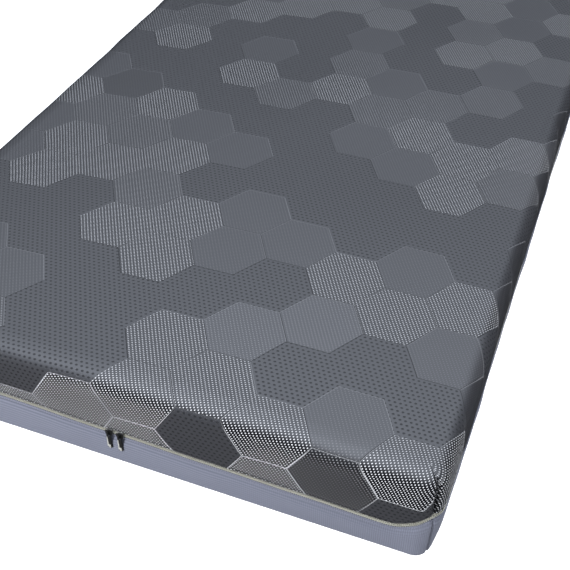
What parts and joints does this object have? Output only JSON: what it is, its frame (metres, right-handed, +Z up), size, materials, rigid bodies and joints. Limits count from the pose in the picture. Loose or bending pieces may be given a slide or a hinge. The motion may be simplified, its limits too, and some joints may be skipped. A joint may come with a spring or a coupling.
{
  "type": "mattress",
  "caption": "Single foam mattress in a two-part knitted cover, patterned grey above and plain light grey below, joined by a zip round its sides",
  "frame": {"origin": "on the supporting surface, under the middle of the whole mattress", "axes": "+Z up, +Y along the length towards the head end, +X across the width to the right seen from the foot end"},
  "size_m": [0.9068, 2.0066, 0.1599],
  "materials": {
    "upper_knit": "jacquard knit, matt, patterned with tonal hexagons",
    "lower_knit": "fine ribbed knit, matt",
    "zip_tape": "woven tape, matt",
    "zip_coil": "satin nylon coil",
    "slider_metal": "antiqued, dark with brighter worn edges"
  },
  "bodies": {
    "root": {"upper_cover": "upper_knit", "lower_cover": "lower_knit", "zip_tape_upper": "zip_tape", "zip_tape_lower": "zip_tape", "zip_coil": "zip_coil", "slider_left": "slider_metal", "slider_right": "slider_metal", "pull_left": "slider_metal", "pull_right": "slider_metal"}
  },
  "joints": []
}
